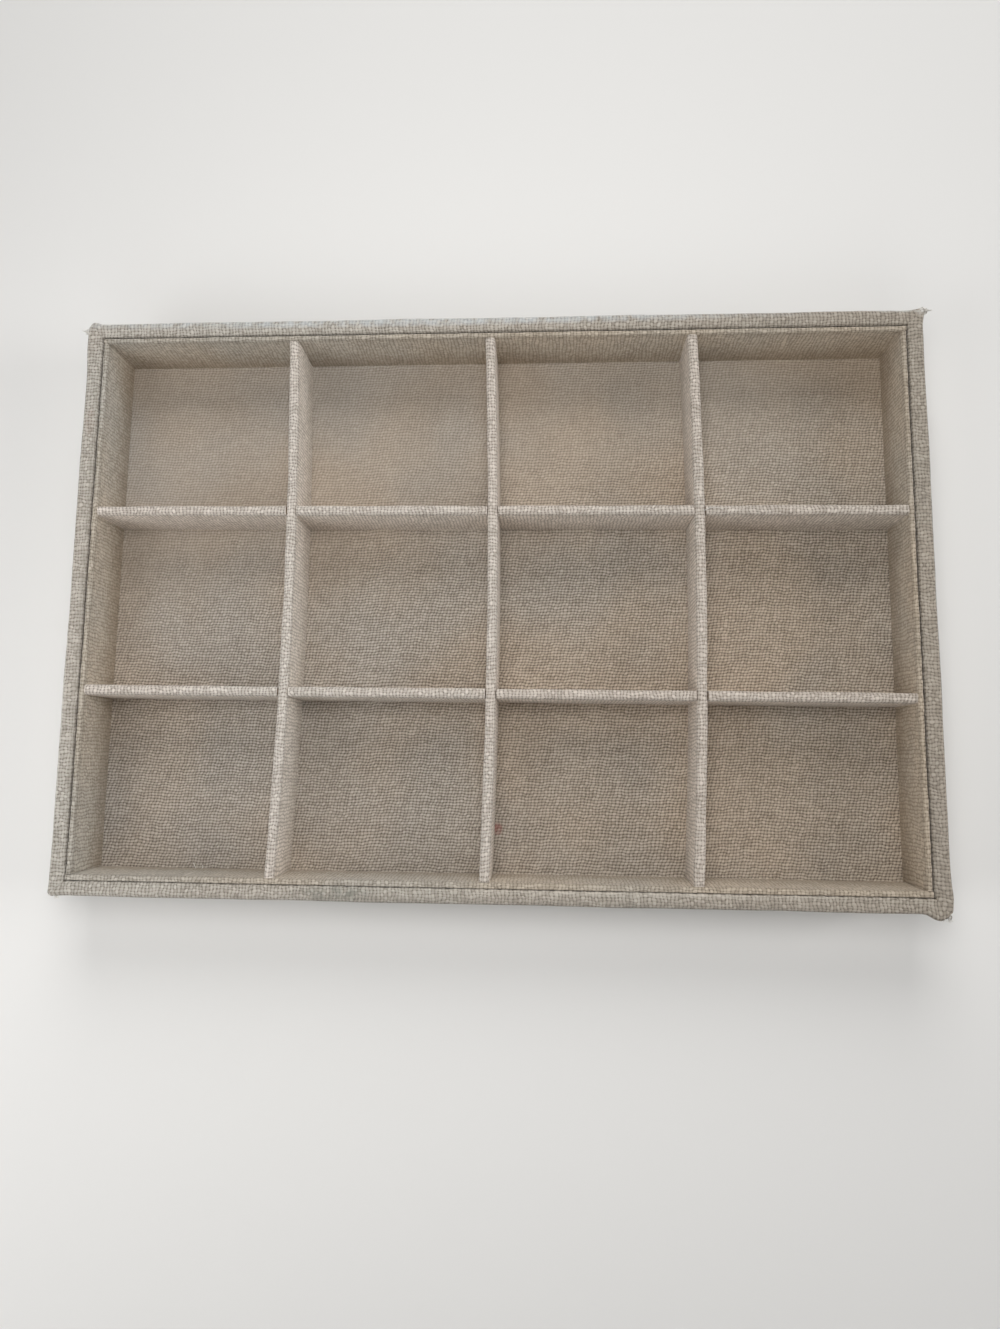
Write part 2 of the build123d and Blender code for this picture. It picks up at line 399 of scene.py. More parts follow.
class Finish:
    """A material under its Principled shader."""

    def __init__(self, name, **fixed):
        self.material = bpy.data.materials.new(name)
        self.material.use_nodes = True
        self.tree = self.material.node_tree
        self.shader = self.tree.nodes["Principled BSDF"]
        for socket, value in fixed.items():
            self.socket(socket).default_value = value

    def socket(self, name):
        return self.shader.inputs[name.replace("_", " ").title().replace("Ior", "IOR")]

    def node(self, kind, settings=None, values=(), output=0):
        """Adds a node: first its settings, then the values or links of its sockets, by place or by name."""
        made = self.tree.nodes.new(kind)
        for name, value in (settings or {}).items():
            setattr(made, name, value)
        for place, value in values.items() if isinstance(values, dict) else enumerate(values):
            if isinstance(value, Field):
                self.tree.links.new(value.socket, made.inputs[place])
            else:
                made.inputs[place].default_value = value
        return Field(self, made.outputs[output])

    def parts(self, vector):
        """The three parts of a vector."""
        outputs = self.node("ShaderNodeSeparateXYZ", None, (vector,)).socket.node.outputs
        return [Field(self, outputs[axis]) for axis in "XYZ"]

    def threads(self):
        """The piece's two thread counts."""
        return self.parts(self.node("ShaderNodeUVMap", {"uv_map": THREADS}))[:2]

    def vector(self, x, y):
        return self.node("ShaderNodeCombineXYZ", None, (x, y, 0.0))

    def vector_maths(self, operation, *values, output=0):
        return self.node("ShaderNodeVectorMath", {"operation": operation}, values, output)

    def noise(self, vector, scale=1.0, detail=2.0, roughness=0.5, dimensions="3D"):
        sockets = {"Vector": vector, "Scale": scale, "Detail": detail, "Roughness": roughness}
        return self.node("ShaderNodeTexNoise", {"noise_dimensions": dimensions}, sockets)

    def flat_noise(self, x, y, detail=2.0):
        return self.noise(self.vector(x, y), detail=detail, dimensions="2D")

    def mix(self, factor, a, b, blend="MIX"):
        """The colour a where factor is nought and b where it is one."""
        a, b = (x if isinstance(x, Field) else (*x, 1.0) for x in (a, b))
        kind = {"data_type": "RGBA", "blend_type": blend}
        return self.node("ShaderNodeMix", kind, {0: factor, 6: a, 7: b}, 2)

    def tinted(self, body, tint):
        return self.mix(1.0, body, tint, "MULTIPLY")

    def place(self):
        return self.node("ShaderNodeTexCoord", output="Object")

    def patch(self, centre, radii):
        """One inside a soft-edged egg shape, and nought outside it. centre and radii are in millimetres."""
        centre, radii = (tuple(np.array(size) * MM) for size in (centre, radii))
        off = self.vector_maths("DIVIDE", self.vector_maths("SUBTRACT", self.place(), centre), radii)
        return 1 - self.vector_maths("LENGTH", off, output="Value").between(0.35, 1.0)

    def bump(self, height, distance, strength=1.0):
        sockets = {"Strength": strength, "Distance": distance, "Height": height}
        return self.node("ShaderNodeBump", None, sockets)

    def feed(self, **links):
        for socket, field in links.items():
            self.tree.links.new(field.socket, self.socket(socket))
        return self.material


# The cool and the warm tint of the linen's patches, which are closer together on what is handled
FAINT_CASTS = (0.978, 0.983, 0.972), (0.995, 0.975, 0.953)
PLAIN_CASTS = (0.961, 0.983, 0.999), (1.012, 0.975, 0.926)
WHITE = (1.0, 1.0, 1.0)


class Look(NamedTuple):
    """How the linen of one group of pieces looks.

    openness is the share of a thread's spacing that is gap. gain brightens or tints the threads. It is
    painted light that makes the one linen brighter or darker, group by group, as light falls on it. aged are
    their tints at the left and the right end of the tray. They are painted light: cooler and mostly brighter
    at the left, warmer and darker at the right. casts are those of the patches. crisp is how strongly
    threads stand out from each other, on the faces below top and on the top itself. Those faces are brighter
    by face, which is painted light. At their foot they are darker by soiled, which is painted shade with
    some dust. dulled is how much less the threads stand out towards the back left, and rows how far the
    lengthwise ones lie in straight rows with dark lines between them, which are painted shade.
    """

    openness: float
    gain: tuple = WHITE
    light_falloff: tuple = (WHITE, WHITE)
    casts: tuple = FAINT_CASTS
    crisp: tuple = (1.0, 1.0)
    top: float = 0.0
    face: float = 1.0
    foot_shade_and_dust: float = 0.0
    dulled: float = 0.0
    rows: float = 0.0


# Painted light: gain and aged tint each group's linen for how light falls on it, and face brightens the
# faces. soiled is painted shade, with some dust, at their foot. The folds are painted lighter and bluer, a
# painted highlight.
LOOKS = {
    "wrap_linen": Look(
        0.32, (0.705, 0.722, 0.755), ((1.09, 1.11, 1.12), (0.86, 0.84, 0.80)), crisp=(0.62, 0.62)
    ),
    "liner_linen": Look(
        0.28, (0.735, 0.735, 0.73), ((0.96, 0.98, 1.0), (0.95, 0.92, 0.88)), PLAIN_CASTS,
        crisp=(0.58, 0.60), top=LINER_TOP, face=1.17, foot_shade_and_dust=0.48,
    ),
    "floor_linen": Look(
        0.34, (0.77, 0.755, 0.752), ((0.97, 0.98, 1.0), (1.0, 0.97, 0.93)), PLAIN_CASTS,
        crisp=(0.74, 0.74), dulled=0.54, rows=1.0,
    ),
    "divider_linen": Look(
        0.34, (0.94, 0.955, 1.017), ((1.05, 1.06, 1.07), (0.91, 0.90, 0.88)),
        crisp=(0.58, 0.60), top=DIVIDER_TOP, face=1.33, foot_shade_and_dust=0.31,
    ),
    "fold_linen": Look(0.14, (1.15, 1.25, 1.40)),
}

# Stains, and on the walls' linen also painted highlights and painted shade: centre and radii in millimetres,
# colour and strength
WRAP_STAINS_AND_LIGHT = (
    # Stains
    ((-60, -117.6, 30), (21, 4, 6), (0.155, 0.165, 0.140), 0.55),
    ((-172, 76, 30), (3, 8, 4), (0.36, 0.22, 0.17), 0.25),
    ((172, 42, 30), (3, 6, 4), (0.16, 0.14, 0.12), 0.30),
    # Painted highlight along the left outer edge
    ((-175.6, -50, 29), (1.9, 80, 4), (0.74, 0.71, 0.66), 0.70),
    # Painted shade along the right outer edge
    ((175.6, 10, 29), (1.4, 95, 3), (0.24, 0.27, 0.28), 0.35),
    # Painted highlights at the back right corner and along the back rim's outer edge
    ((175.2, 120.2, 30), (3.8, 3.0, 4), (0.72, 0.70, 0.66), 0.60),
    ((166.0, 120.4, 30), (17, 1.8, 4), (0.66, 0.66, 0.62), 0.60),
    ((-40, 119.6, 29.5), (200, 3.8, 4), (0.66, 0.72, 0.76), 0.46),
    # Painted shade along the front rim's outer edge
    ((0, -119.9, 29.5), (190, 3.2, 4), (0.22, 0.20, 0.17), 0.42),
    # Painted highlight where the front rim rounds down to its seam
    ((60, -114.7, 30), (120, 1.9, 3), (0.70, 0.64, 0.56), 0.40),
    # Painted shade along the left rim by its seam
    ((-169.2, 0, 30), (2.6, 150, 3), (0.28, 0.25, 0.21), 0.50),
    # Painted shade on the right rim towards the front
    ((172.5, -85, 29), (5, 45, 5), (0.24, 0.21, 0.18), 0.22),
)
FLOOR_MARKS = (((2.4, -93.2, FLOOR_TOP / MM), (3.0, 3.2, 3.0), (0.30, 0.085, 0.075), 0.75),)
# Colour of the painted shade, with some dust, at the foot of the faces. It is warm, as light thrown back
# between the walls is.
SHADE_AND_DUST_COLOUR = (0.15, 0.092, 0.035)

# How threads waver: by how much, and how fast beside a thread and along it
WAVERING = ((0.28, 0.85, 0.07), (0.34, 0.90, 0.55))


def linen_finish(name, cloth, marks=()):
    """Coarse plain-weave linen with the look of that name, which follows the piece's thread counts.

    Both sets of threads wander, thicken and thin, and each thread and each crossing has its own shade. The
    higher thread shows, as in woven(), and gaps open between four threads. Crowns and the higher thread are
    painted lighter, and the gaps and the grooves between rows are painted dark. This is painted shade of the
    weave.
    """
    look = LOOKS[name]
    finish = Finish(name, roughness=0.9, specular_ior_level=0.2, sheen_weight=0.12, sheen_roughness=0.5)
    u, v = finish.threads()
    across, along = u - 0.31, v - 0.31
    for weight, beside, onward in WAVERING:
        across = across + weight * finish.flat_noise(u * beside, v * onward)
        straying = weight * (1 - 0.6 * look.rows)
        along = along + straying * finish.flat_noise(u * onward, v * beside + 40.0)
    i, j = across.floor(), along.floor()

    # The noise steps far from thread to thread and hardly along a thread, so each has its own thickness
    next_thread, same_thread = 5.37, 0.16
    slub_i = finish.flat_noise(i * next_thread, along * same_thread)
    slub_j = finish.flat_noise(across * same_thread, j * next_thread + 70.0)
    half_i, half_j = (slub * 0.24 + (0.38 - look.openness / 2) for slub in (slub_i, slub_j))
    x, y = (across - i - 0.5) / half_i, (along - j - 0.5) / half_j
    ride_i = i.sign_by_turns() * (along * math.pi).sine()
    ride_j = j.sign_by_turns() * (across * math.pi).sine() * -1.0
    high_i, high_j = (
        0.5 * ride + 0.5 * back.higher(0.0).root() - 2.0 * (0.0 - back > 0.0)
        for ride, back in ((ride_i, 1 - x * x), (ride_j, 1 - y * y))
    )
    on_top = high_i > high_j
    height = high_i.higher(high_j).higher(-1.0)

    fibre_i = finish.flat_noise(across * 7.0, along * 0.9, 3.0)
    fibre_j = finish.flat_noise(across * 0.9 + 13.0, along * 7.0, 3.0)
    shade_i = slub_i * 0.55 + fibre_i * 0.45 + 0.02
    shade_j = slub_j * 0.55 + fibre_j * 0.45 - 0.02
    shade = shade_j + on_top * (shade_i - shade_j)
    cell = {"Vector": finish.vector(i, j)}
    grain = finish.node("ShaderNodeTexWhiteNoise", {"noise_dimensions": "2D"}, cell) * 0.42 + 0.29
    crown = height.between(0.2, 1.0)

    place = finish.place()
    rightwards, backwards, upwards = finish.parts(place)
    on_face = 1 - upwards.between(look.top - 3 * MM, look.top - 0.6 * MM) if look.top else 1.0
    crisp = look.crisp[1] + (look.crisp[0] - look.crisp[1]) * on_face
    if look.dulled:
        back_left = (backwards - 0.25 * rightwards).between(-10 * MM, 90 * MM)
        crisp = crisp * (1 - look.dulled * back_left)
    mottle = finish.noise(place, 30.0, 3.0, 0.55)
    level = (shade - 0.5) * 1.1 + (grain - 0.5) * (1.9 - 0.8 * look.rows)
    # Painted shade of the weave: crowns lighter than where threads dip under others, and the thread on top
    # lighter than the one below
    level = level + (crown - 0.5) * 0.75 + (on_top - 0.5) * 0.24
    level = level * crisp + (mottle - 0.5) * 0.03 + 0.55

    gap = tuple(cloth.gap)
    # Painted light: the threads' colours are scaled by the group's gain
    dark, pale = (tuple(np.array(thread) * look.gain) for thread in (cloth.dark, cloth.pale))
    patches = finish.noise(place, 14.0, 2.0, 0.5).between(0.36, 0.64)
    shown = finish.tinted(finish.mix(level, dark, pale), finish.mix(patches, *look.casts))
    # Painted light falling off from the left end of the tray to the right
    from_left = rightwards.between(-HALF_LENGTH, HALF_LENGTH, False)
    shown = finish.tinted(shown, finish.mix(from_left, *look.light_falloff))
    # Painted shade: the gaps take the dark gap colour, for the shade in them and the card seen through them
    hollow = 1 - height.between(-0.8, 0.15)
    shown = finish.mix(hollow * (0.30 + 1.1 * grain) * crisp, shown, gap)
    # Painted shade: dark lines in the grooves between the rows of lengthwise threads
    if look.rows:
        shown = finish.mix((y * y).between(0.35, 1.2) * crisp * (0.42 * look.rows), shown, gap)
    # Painted light: the faces below the top are made brighter than the top
    if look.top:
        shown = finish.tinted(shown, finish.mix(on_face, WHITE, (look.face,) * 3))
    # Painted shade, with some dust, darkening the faces towards their foot
    if look.foot_shade_and_dust:
        foot = 1 - upwards.between(FLOOR_TOP, FLOOR_TOP + 17 * MM)
        shown = finish.mix(foot * look.foot_shade_and_dust, shown, SHADE_AND_DUST_COLOUR)
    # Stains, and on the walls' linen also painted highlights and painted shade
    for centre, radii, mark_colour, strength in marks:
        spot = finish.patch(centre, radii) * finish.noise(place, 260.0, 3.0, 0.6).between(0.25, 0.65)
        shown = finish.mix(spot * strength, shown, mark_colour)
    relief = (height + 0.22 * (fibre_j + on_top * (fibre_i - fibre_j))) * crisp
    return finish.feed(
        base_color=shown,
        roughness=0.84 + 0.12 * (1 - shade),
        normal=finish.bump(relief, 0.24 * MM),
    )


def fibreboard_finish():
    """Raw fibreboard: short pressed fibres, darker specks and a slightly fuzzy face."""
    finish = Finish("fibreboard", roughness=0.85, specular_ior_level=0.25)
    place = finish.place()
    chips = finish.noise(place, 900.0, 4.0, 0.65)
    clouds = finish.noise(place, 60.0, 3.0, 0.5)
    specks = finish.noise(place, 2600.0, 1.0, 0.5).between(0.62, 0.72)
    body = finish.mix(chips * 0.6 + clouds * 0.4, (0.36, 0.25, 0.155), (0.56, 0.42, 0.28))
    return finish.feed(
        base_color=finish.mix(specks * 0.5, body, (0.17, 0.105, 0.06)),
        roughness=0.78 + 0.15 * chips,
        normal=finish.bump(chips, 0.06 * MM, 0.6),
    )


def greyboard_finish():
    """Raw grey card: pulp clouds with pale and dark flecks."""
    finish = Finish("greyboard", roughness=0.9, specular_ior_level=0.2)
    place = finish.place()
    pulp = finish.noise(place, 300.0, 4.0, 0.6)
    flecks = finish.noise(place, 3200.0, 2.0, 0.5)
    body = finish.mix(pulp, (0.33, 0.305, 0.27), (0.50, 0.47, 0.425))
    body = finish.mix(flecks.between(0.60, 0.70) * 0.6, body, (0.20, 0.18, 0.155))
    return finish.feed(
        base_color=finish.mix(flecks.between(0.40, 0.32) * 0.5, body, (0.66, 0.63, 0.58)),
        roughness=0.82 + 0.12 * pulp,
        normal=finish.bump(pulp, 0.03 * MM, 0.5),
    )


def felt_finish():
    """Needled felt: matted fibres lying every way, rows of faint needle marks, and rubbed paler spots."""
    sheen = {"sheen_weight": 0.3, "sheen_roughness": 0.6}
    finish = Finish("needled_felt", roughness=0.95, specular_ior_level=0.15, **sheen)
    place = finish.place()
    sockets = {"Vector": place, "Scale": 500.0, "Detail": 2.0}
    swirl = finish.node("ShaderNodeTexNoise", None, sockets, "Color")
    bent = finish.node("ShaderNodeVectorMath", {"operation": "SCALE"}, {0: swirl, "Scale": 0.004})
    fibres = finish.noise(finish.vector_maths("ADD", place, bent), 1900.0, 4.0, 0.7)
    wads = finish.noise(place, 140.0, 3.0, 0.55)
    rubbed = finish.noise(place, 24.0, 2.0, 0.5).between(0.52, 0.75)
    level = fibres * 0.7 + wads * 0.3
    body = finish.mix(level, (0.050, 0.045, 0.040), (0.185, 0.168, 0.150))
    return finish.feed(
        base_color=finish.mix(rubbed * 0.25, body, (0.24, 0.22, 0.20)),
        roughness=0.90 + 0.08 * wads,
        normal=finish.bump(fibres + 0.4 * wads, 0.25 * MM, 0.8),
    )


def yarn_finish(cloth):
    """A single pulled linen thread: twisted pale and darker fibres."""
    finish = Finish("linen_yarn", roughness=0.85, specular_ior_level=0.25, sheen_weight=0.2)
    round_it, along = finish.threads()
    twist = ((round_it + along * 1.3) * (4 * math.pi)).sine() * 0.5 + 0.5
    fuzz = finish.noise(finish.place(), 2500.0, 3.0, 0.6)
    level = twist * 0.4 + fuzz * 0.5 + 0.35
    return finish.feed(
        base_color=finish.mix(level, tuple(cloth.dark), (0.80, 0.78, 0.73)),
        roughness=0.8 + 0.15 * fuzz,
        normal=finish.bump(twist + fuzz, 0.05 * MM),
    )


# Covered strips


def wall_halves(side):
    """Half the length of a wall, and the distance of its outer face from the middle of the tray."""
    return (HALF_LENGTH, HALF_WIDTH) if side in ("front", "back") else (HALF_WIDTH, HALF_LENGTH)


def along_wall(u, v, half, radius):
    """Where a point at length u along a wall and depth v inside its outer face is, in the wall's own axes.

    Up to half - radius it runs straight. Beyond that it goes round the corner on an arc of radius - v, to
    the mitre, an eighth of a turn on. Points deeper than radius run straight to the mitre.
    """
    start = half - radius
    arc = np.maximum(radius - v, 1e-9)
    turn = np.clip((np.abs(u) - start) / arc, 0, np.pi / 4)
    bent = (v < radius) & (np.abs(u) > start)
    x = np.where(bent, start + arc * np.sin(turn), np.abs(u)) * np.sign(u)
    return x, np.where(bent, radius - arc * np.cos(turn), v)


# Where the walls' linen stands out of line at the corners, in millimetres: middle, pull and its reach
PULLS = (
    ((-172.7, 120.0), (0.0, 0.9), 1.9),
    ((174.6, 119.8), (1.3, 1.0), 3.2),
    ((170.6, -119.8), (0.0, -2.4), 3.4),
    ((-175.0, 112.0), (-0.6, 0.0), 9.0),
    ((175.0, -114.0), (0.6, 0.0), 4.5),
    ((-174.6, -119.8), (-0.4, -0.3), 2.5),
)

# How far the front leans out, and how far the end walls and the back wall swell, at the rim
LEAN = 0.6 * MM
END_SWELL, BACK_SWELL = 0.5 * MM, 0.45 * MM


def risen(z):
    """Nought at the foot of the walls and one near the rim: how much of their settling shows at height z."""
    return ease((z - 9 * MM) / (17 * MM))


def leaned(points):
    """Points moved as the front leans out, which grows over the last 6 mm before its liner's face."""
    x, y, z = np.moveaxis(points, -1, 0)
    lean = LEAN * ease((-y - 105 * MM) / (6 * MM)) * risen(z)
    return stacked(x, y - lean, z)


def settled(points):
    """Points of the walls' and liners' linen, moved as the covered walls have settled.

    Towards the rim the front leans out and the outer faces swell, growing over the outer 5 mm. Near a pull
    they go with it over the last 12 mm below the rim, scaled by exp(-(distance / reach)^2).
    """
    x, y, z = np.moveaxis(points, -1, 0)
    outer_x, outer_y = (
        np.clip(1 - (half - np.abs(place)) / (5 * MM), 0, 1)
        for half, place in ((HALF_LENGTH, x), (HALF_WIDTH, y))
    )
    swell = stacked(END_SWELL * np.sign(x) * outer_x, np.where(y > 0, BACK_SWELL, 0.0) * outer_y, 0.0)
    moved = swell * risen(z)[..., None]
    near_rim = (np.maximum(outer_x, outer_y) * ease((z - 18 * MM) / (10 * MM)))[..., None]
    for middle, pull, reach in PULLS:
        far = np.hypot(x / MM - middle[0], y / MM - middle[1]) / reach
        moved += np.exp(-far * far)[..., None] * near_rim * (*pull, 0.0) * MM
    return leaned(points) + moved


# How far from its ends a wall's linen is drawn in towards the mitre
DRAWN_IN = 16 * MM
# How far its edge at the seam rolls down, in millimetres: evenly, in slow hollows and in quick ones
SEAM_ROLL = (0.04, 0.05, 0.11)


def wrap_piece(side, cloth, shape, seed):
    """The linen of one wall: up inside it, over the rim, down the outside and under the base.

    The run is carried along the wall. Columns u nearer to an end than DRAWN_IN are drawn in evenly, so that
    the last one lies on the mitre at every depth. Threads rise from the surface as woven() says. The edges
    at the seam and at the mitre roll down.
    """
    half, depth = wall_halves(side)
    width, radius = shape.rim_width, shape.corner_round
    inside, under = RIM_TOP - cloth.turn_in, cloth.turn_under
    corners = [(width, inside), (width, RIM_TOP), (0, RIM_TOP), (0, WRAP_BOTTOM), (under, WRAP_BOTTOM)]
    eased = eased_run(corners, (shape.seam_round, shape.rim_round, shape.base_round))
    fine = (cloth.turn_in - 1.6 * MM, cloth.turn_in + width + 2.4 * MM)
    full = half - radius + radius * math.pi / 4
    t, columns, v, z, out_v, out_z = strip_grid(cloth, eased, fine, 2.3 * MM, full)
    straight = half - DRAWN_IN
    reach = np.where(v < radius, half - radius + (radius - v) * math.pi / 4, half - v)
    past = np.maximum(np.abs(columns) - straight, 0) / (full - straight)
    u = np.sign(columns) * (np.minimum(np.abs(columns), straight) + past * (reach - straight))
    a, b = thread_counts(cloth, t, u, fine, (200, 100), seed)
    on_top = ease((z - RIM_TOP + 6 * MM) / (5 * MM))
    rise = cloth.relief * within(t, fine, 1 * MM, 1 * MM) * (woven(a, b) - 1) / 2
    to_end = ease((half - np.abs(u)) / (12 * MM))
    rise += cloth.wander * 0.6 * on_top * to_end * np.where(v < width / 2, drift(u, seed, 90 * MM), 0)
    even, slow, quick = SEAM_ROLL
    rolled = even + slow * drift(u, seed + 1, 60 * MM) ** 2 + quick * drift(u, seed + 2, 5 * MM, 2)
    rise -= rolled * MM * on_top * (v > width - 0.4 * MM)
    to_mitre = reach - np.abs(u)
    rise -= 0.07 * MM * np.exp(-((to_mitre / (0.5 * MM)) ** 2)) * ease((z - WRAP_BOTTOM) / (6 * MM))
    x, y = along_wall(u, v + out_v * rise, half, radius)
    points = settled(turned((x, y - depth, z + out_z * rise), QUARTER_TURNS[side]))
    cut, rests_on = (eased[0][-1], 2 * half), [core_of(f"{side}_wall_board"), "base_board"]
    return sheet_piece(f"{side}_wall_linen", points, (a, b), cloth.thickness, cut, "folded", rests_on)


# The front's board and card lean out with it, so these pieces stand for them
LEANING = {"front_wall_board": "front_wall_core", "front_liner_card": "front_liner_core"}


def leaning_core(node):
    """The board or card of the front, leaning as its linen does: its middle surface, thickened and eased."""
    corner, far = low(node), high(node)
    thickness = far[1] - corner[1]
    x, z = np.meshgrid(np.linspace(corner[0], far[0], 30), np.linspace(corner[2], far[2], 14))
    points = leaned(stacked(x, corner[1] + thickness / 2, z))
    piece = surface(LEANING[node], points, stacked(x, z) * 100)
    piece.data.shade_flat()
    thicken(piece, thickness, 0.0)
    eased = piece.modifiers.new("Eased", "BEVEL")
    eased.width, eased.segments, eased.limit_method = 0.24 * thickness, 3, "ANGLE"
    return piece


def core_of(node):
    """The piece that shows the board or card of a CAD node."""
    return LEANING.get(node, node)


# The edge at the seam is rounded by this share of the liner's rounding
SEAM_SIDE = 0.65
# How far the foot of each liner's linen stands in from its card, and how wide the seam is, in millimetres
LINER_SEATS = {"front": (0.0, 0.12), "right": (0.0, 0.58), "back": (0.7, 0.44), "left": (0.45, 0.56)}


def liner_piece(side, cloth, shape, seed):
    """The linen round one liner card: up its face, over its top and down its back, carried along the wall.

    Its face leans in towards its foot.
    """
    node, depth = f"{side}_liner_linen", wall_halves(side)[1]
    half = max((high(node) - low(node))[:2]) / 2
    foot, seam = LINER_SEATS[side]
    inner, outer = shape.liner_inner, shape.rim_width + seam * MM
    corners = [(inner, FOOT), (inner, LINER_TOP), (outer, LINER_TOP), (outer, FOOT)]
    eased = eased_run(corners, (shape.liner_round, SEAM_SIDE * shape.liner_round))
    tall = LINER_TOP - FOOT
    fine = (tall - 5 * MM, tall + 2.4 * MM)
    t, u, v, z, out_v, out_z = strip_grid(cloth, eased, fine, 2.5 * MM, half)
    a, b = thread_counts(cloth, t, u, fine, (900, 300), seed)
    on_top = within(t, fine, 2 * MM, 1 * MM)
    rise = cloth.relief * on_top * (woven(a, b) - 1) / 2
    rise += cloth.wander * 0.5 * on_top * (drift(u, seed, 70 * MM) - 0.4)
    rise += 0.06 * MM * on_top * drift(u, seed + 3, 9 * MM) * (v < outer + 0.3 * MM)
    v, z = v + out_v * rise, z + out_z * rise
    lean_in = foot * MM * (1 - ease((z - FLOOR_TOP) / (15 * MM))) * (v > (inner + outer) / 2)
    points = settled(turned((u, v + lean_in - depth, z), QUARTER_TURNS[side]))
    cut, rests_on = (eased[0][-1], 2 * half), [core_of(f"{side}_liner_card")]
    return sheet_piece(f"{side}_liner_cover", points, (a, b), cloth.thickness, cut, "stretched", rests_on)


# Dividers


# Each divider's place in millimetres: the middle of its two ends, its slant to either end, and its bow
CROSS_LINES = ((-86.1, 0.4, 2.5), (-1.6, -0.3, 2.1), (82.0, 0.3, 2.4))
LONG_LINES = ((-38.5, -0.5), (37.0, -0.55))


def cross_line(number, y):
    """Where cross divider number 0, 1 or 2 runs, at y: it slants a little, and bows to the right."""
    ends, slant, bow = CROSS_LINES[number]
    w = y / HALF_SPAN["cross"]
    return (ends + slant * w + bow * (1 - w * w)) * MM


def long_line(number, x):
    """Where long divider number 0 or 1 runs, at x: it slants towards the front at its right end."""
    middle, slant = LONG_LINES[number]
    return (middle + slant * x / HALF_SPAN["long"]) * MM


def divider_line(kind, number, w):
    """Sideways place of a divider at length w along it, in its own axes."""
    return -cross_line(number, w) if kind == "cross" else long_line(number, w)


def crossings(kind, number):
    """Lengths along a divider at which the others cross it."""
    if kind == "cross":
        return [long_line(k, cross_line(number, long_line(k, 0))) for k in (0, 1)]
    return [cross_line(k, long_line(number, cross_line(k, 0))) for k in (0, 1, 2)]


def lap_level(kind):
    """Height at which the slots of the cross dividers, open below, or of the long ones, open above, end."""
    return (FLOOR_TOP + DIVIDER_TOP) / 2 + (0.15 * MM if kind == "cross" else -0.15 * MM)


def slot_sides(kind, number, slot):
    """Lengths along a divider at which its slots of width slot begin and end."""
    return [c + s * slot / 2 for c in crossings(kind, number) for s in (-1, 1)]


def slotted(kind, number, u, v, z, slot):
    """Points of a divider's cover or board, carried along its line, and which quads its slots leave."""
    points = leaned(turned((u, v + divider_line(kind, number, u), z), 1 if kind == "cross" else 0))
    middle, along = ((grid[1:, 1:] + grid[:-1, :-1]) / 2 for grid in (z, u))
    in_slot = np.any([np.abs(along - c) < slot / 2 for c in crossings(kind, number)], axis=0)
    open_side = middle < lap_level(kind) if kind == "cross" else middle > lap_level(kind)
    return points, ~(in_slot & open_side)


def divider_cover(kind, number, cloth, shape):
    """The linen sleeve of one divider: up one face, over the top and down the other, less the slots."""
    half = HALF_SPAN[kind] + END_CLEARANCE
    side, slot = shape.divider_thickness / 2, shape.cover_lap
    corners = [(side, FOOT), (side, DIVIDER_TOP), (-side, DIVIDER_TOP), (-side, FOOT)]
    eased = eased_run(corners, (shape.divider_round, shape.divider_round))
    total, tall, level = eased[0][-1], DIVIDER_TOP - FOOT, lap_level(kind) - FOOT
    fine = (tall - 3.2 * MM, total - tall + 3.2 * MM)
    levels, cuts = (level, total - level), slot_sides(kind, number, slot)
    t, u, v, z, out_v, out_z = strip_grid(cloth, eased, fine, 2.4 * MM, half, levels, cuts)
    seed = 40 + 10 * number + (5 if kind == "long" else 0)
    threads = thread_counts(cloth, t, u, fine, (37 * number, 60), seed)
    on_top = within(t, fine, 1.5 * MM, 1.5 * MM)
    rise = cloth.relief * on_top * (woven(*threads) - 1) / 2
    rise = rise + cloth.wander * 0.6 * on_top * (drift(u, seed, 50 * MM) - 0.6)
    points, keep = slotted(kind, number, u, v + out_v * rise, z + out_z * rise, slot)
    name, core = (f"{kind}_divider_{number + 1}_{word}" for word in ("cover", "core"))
    return sheet_piece(name, points, threads, cloth.thickness, (total, 2 * half), "stretched", [core], keep)


def divider_core(kind, number, shape):
    """The board in a divider, slotted and bowed with it: its middle surface, given the board's thickness."""
    slot, step = shape.lap_width, 12 * MM
    eased = eased_run([(0, FLOOR_TOP), (0, (FLOOR_TOP + BOARD_TOP) / 2), (0, BOARD_TOP)], ())
    t = np.unique([*np.linspace(0, eased[0][-1], 8), lap_level(kind) - FLOOR_TOP])
    columns = thread_columns(HALF_SPAN[kind], step, slot_sides(kind, number, slot))
    t, u = np.meshgrid(t, columns, indexing="ij")
    v, z, _, _ = along_run(eased, t)
    points, keep = slotted(kind, number, u, v, z, slot)
    threads = stacked(u / step + 37 * number, t / step)
    piece = surface(f"{kind}_divider_{number + 1}_core", points, threads, keep)
    piece.data.shade_flat()
    return thicken(piece, shape.divider_board, 0.0)


# Folds, frayed ends and strays


def fold_piece(name, centre, half_sizes, droop, heading, cloth):
    """A small fold of linen that stands off a corner: a disc that droops from its middle by droop r^2.4.

    The grid p, q from -1 to 1 becomes a disc as x = p sqrt(1 - q^2 / 2), y = q sqrt(1 - p^2 / 2).
    """
    q, p = np.meshgrid(np.linspace(1, -1, 25), np.linspace(-1, 1, 25), indexing="ij")
    x, y = p * np.sqrt(1 - q * q / 2), q * np.sqrt(1 - p * p / 2)
    far = x * x + y * y
    z = -droop * MM * far**1.2 + 0.12 * MM * np.sin(5 * x + 2 * y)
    x, y = x * half_sizes[0] * MM, y * half_sizes[1] * MM
    c, s = math.cos(math.radians(heading)), math.sin(math.radians(heading))
    points = stacked(c * x - s * y, s * x + c * y, z) + np.array(centre) * MM
    threads = stacked(x / cloth.crosswise_pitch, y / cloth.lengthwise_pitch) + 60
    return thicken(surface(name, points, threads), 0.4 * MM)


